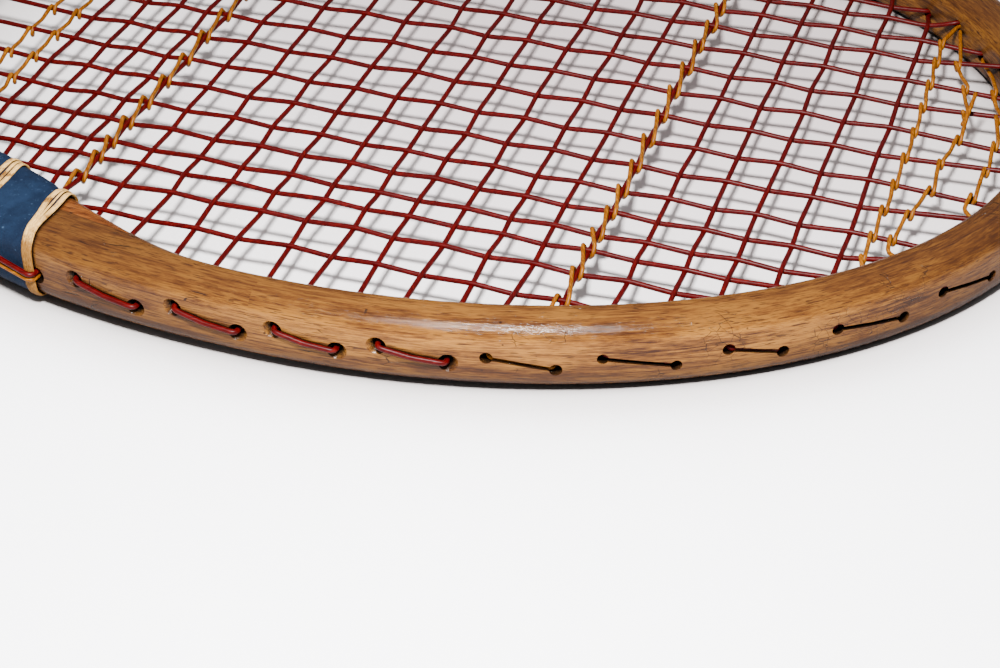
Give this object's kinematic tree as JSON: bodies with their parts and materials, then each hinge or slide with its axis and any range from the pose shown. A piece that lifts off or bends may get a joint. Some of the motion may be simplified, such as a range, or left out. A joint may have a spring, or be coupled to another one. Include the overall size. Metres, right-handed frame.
{
  "type": "tennis racket",
  "caption": "Vintage wooden tennis racket: oval bent-wood head with woven strings, bound shoulders, solid throat, slim shaft and an eight-sided leather grip.",
  "frame": {"origin": "centre of the butt's end face", "axes": "+X runs along the racket from the butt to the tip of the head, the string plane is Z = 0 with +Z out of its front face, and +Y is the left side seen from the grip"},
  "size_m": [0.686, 0.231, 0.0328],
  "materials": {
    "bow_wood": "satin varnish",
    "wedge_wood": "satin varnish",
    "core_wood": "satin varnish",
    "handle_wood": "bare",
    "grip_leather": "worn",
    "collar_tape": "woven tape",
    "butt_leather": "worn",
    "brass_tack": "aged",
    "blue_binding": "worn cloth",
    "whipping_thread": "waxed thread",
    "red_string": "varnished gut",
    "gold_string": "varnished gut"
  },
  "bodies": {
    "root": {"bow": "bow_wood", "throat_wedge": "wedge_wood", "shaft_core": "core_wood", "handle_face_front": "handle_wood", "handle_face_back": "handle_wood", "handle_cheek_left": "handle_wood", "handle_cheek_right": "handle_wood", "leather_grip": "grip_leather", "grip_collar": "collar_tape", "butt_cap": "butt_leather", "butt_tacks": "brass_tack", "shoulder_binding_left": "blue_binding", "shoulder_binding_right": "blue_binding", "head_whipping_left": "whipping_thread", "head_whipping_right": "whipping_thread", "middle_whipping_left": "whipping_thread", "middle_whipping_right": "whipping_thread", "throat_whipping_left": "whipping_thread", "throat_whipping_right": "whipping_thread", "main_string": "red_string", "cross_string": "red_string", "head_wrap_string": "gold_string", "throat_wrap_string": "gold_string", "tip_trim_string_1": "gold_string", "tip_trim_string_2": "gold_string", "tip_trim_string_3": "gold_string", "throat_trim_string_4": "gold_string", "throat_trim_string_5": "gold_string"}
  },
  "joints": []
}
